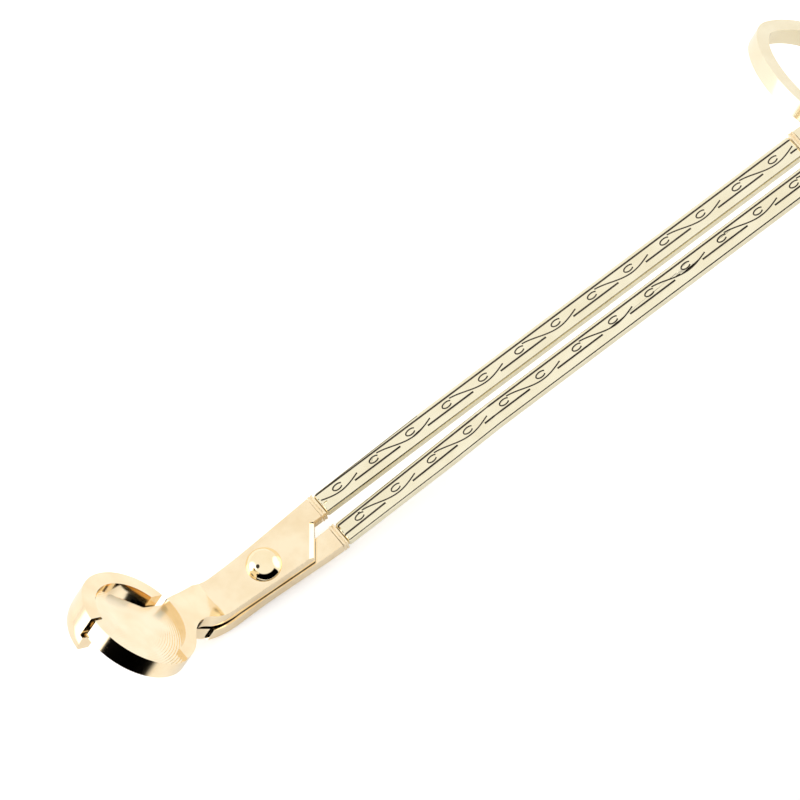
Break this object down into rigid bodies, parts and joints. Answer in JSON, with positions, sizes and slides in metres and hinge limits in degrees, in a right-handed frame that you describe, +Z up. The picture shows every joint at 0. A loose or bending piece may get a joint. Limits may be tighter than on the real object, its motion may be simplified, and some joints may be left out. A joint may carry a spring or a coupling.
{
  "type": "wick trimmer",
  "caption": "Long scissor-like candle wick trimmer with a dished round jaw, a hook jaw, engraved bars and turned-down finger rings.",
  "frame": {"origin": "on the surface the tool lies on, under the middle of its overall box", "axes": "+X from the jaws towards the finger rings, +Y towards the upper lever's finger ring, +Z up from the surface"},
  "size_m": [0.1744, 0.0538, 0.0263],
  "materials": {
    "plated_brass": "polished pale gold plating",
    "engraved_brass": "polished pale gold plating, engraved lines darkened",
    "rivet_brass": "mirror polished"
  },
  "bodies": {
    "lower_lever": {"lower_blade": "plated_brass", "lower_front_collar": "plated_brass", "lower_handle": "engraved_brass", "lower_rear_collar": "plated_brass", "lower_finger_ring": "plated_brass", "pivot_rivet": "rivet_brass", "rivet_washer": "rivet_brass", "pivot_shim": "rivet_brass"},
    "upper_lever": {"upper_blade": "plated_brass", "upper_front_collar": "plated_brass", "upper_handle": "engraved_brass", "upper_rear_collar": "plated_brass", "upper_finger_ring": "plated_brass"}
  },
  "joints": [
    {"name": "pivot", "type": "hinge", "parent": "lower_lever", "child": "upper_lever", "pos_m": [-0.05061, 0, 0.00683], "axis": [-0.0808, 0, 0.9967], "range_deg": [0, 38]}
  ]
}
